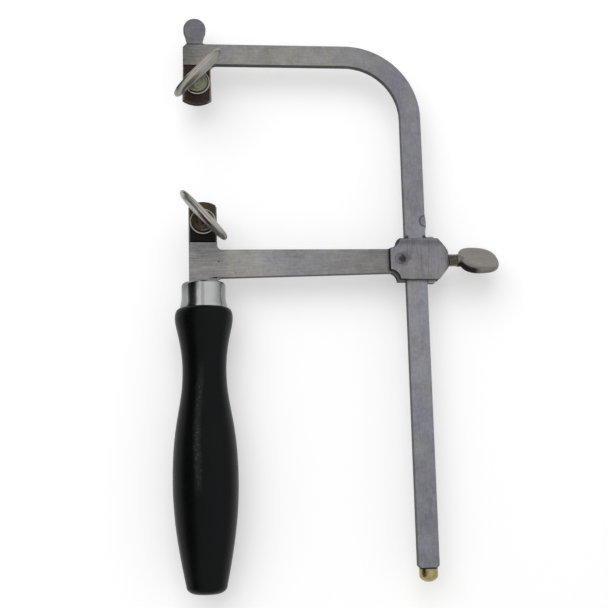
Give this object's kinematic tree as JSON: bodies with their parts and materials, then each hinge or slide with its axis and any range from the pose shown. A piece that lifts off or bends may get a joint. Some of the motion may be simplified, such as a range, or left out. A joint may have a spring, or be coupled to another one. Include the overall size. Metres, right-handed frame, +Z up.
{
  "type": "fret saw",
  "caption": "Jeweller's fret saw frame: a sprung bow that slides in a forked slider to suit the blade, wing screws on the blade clamps, and a turned handle.",
  "frame": {"origin": "on the bench under the middle of the saw, which lies on its back", "axes": "+X from the blade line to the spine, +Y from the handle to the top arm, +Z up, the way the clamp screws point"},
  "size_m": [0.129, 0.2236, 0.0329],
  "materials": {
    "bow_steel": "satin, belt-ground along the bar",
    "stop_brass": "turned, satin",
    "arm_steel": "satin, ground, lightly pitted",
    "slider_steel": "satin, tumbled",
    "rivet_steel": "peened and ground flush",
    "shoe_steel": "bright",
    "screw_nickel": "nickel plated, worn satin",
    "plate_blued": "blued steel, satin",
    "washer_nickel": "nickel plated, satin",
    "ferrule_nickel": "nickel plated, polished",
    "handle_black": "black lacquer, satin"
  },
  "bodies": {
    "grip": {"lower_arm": "arm_steel", "slider_yoke": "slider_steel", "arm_rivet": "rivet_steel", "ferrule": "ferrule_nickel", "handle": "handle_black"},
    "bow": {"bow": "bow_steel", "end_stop": "stop_brass"},
    "upper_clamp": {"upper_clamp_plate": "plate_blued", "upper_washer": "washer_nickel"},
    "upper_screw": {"upper_screw": "screw_nickel"},
    "lower_clamp": {"lower_clamp_plate": "plate_blued", "lower_washer": "washer_nickel"},
    "lower_screw": {"lower_screw": "screw_nickel"},
    "shoe": {"pressure_shoe": "shoe_steel"},
    "side_screw": {"side_screw": "screw_nickel"}
  },
  "joints": [
    {"name": "bow_slide", "type": "slide", "parent": "grip", "child": "bow", "axis": [0, 1, 0], "range_m": [-0.028, 0.11]},
    {"name": "upper_plate_slide", "type": "slide", "parent": "bow", "child": "upper_clamp", "axis": [0, 0, 1], "range_m": [0, 0.00161]},
    {"name": "upper_screw_turn", "type": "hinge", "parent": "upper_clamp", "child": "upper_screw", "pos_m": [-0.05378, 0.0846, 0.01625], "axis": [0, 0, 1], "range_deg": [0, 720]},
    {"name": "lower_plate_slide", "type": "slide", "parent": "grip", "child": "lower_clamp", "axis": [0, 0, 1], "range_m": [0, 0.00161]},
    {"name": "lower_screw_turn", "type": "hinge", "parent": "lower_clamp", "child": "lower_screw", "pos_m": [-0.05212, 0.0284, 0.01625], "axis": [0, 0, 1], "range_deg": [0, 720]},
    {"name": "shoe_slide", "type": "slide", "parent": "grip", "child": "shoe", "axis": [1, 0, 0], "range_m": [0, 0.00081]},
    {"name": "side_screw_turn", "type": "hinge", "parent": "shoe", "child": "side_screw", "pos_m": [0.04868, 0.0134, 0.01235], "axis": [1, 0, 0], "range_deg": [0, 360]}
  ],
  "couplings": [
    {"joint": "upper_plate_slide", "follows": "upper_screw_turn", "m_per_rad": 0.00012732},
    {"joint": "lower_plate_slide", "follows": "lower_screw_turn", "m_per_rad": 0.00012732},
    {"joint": "shoe_slide", "follows": "side_screw_turn", "m_per_rad": 0.00012732}
  ]
}
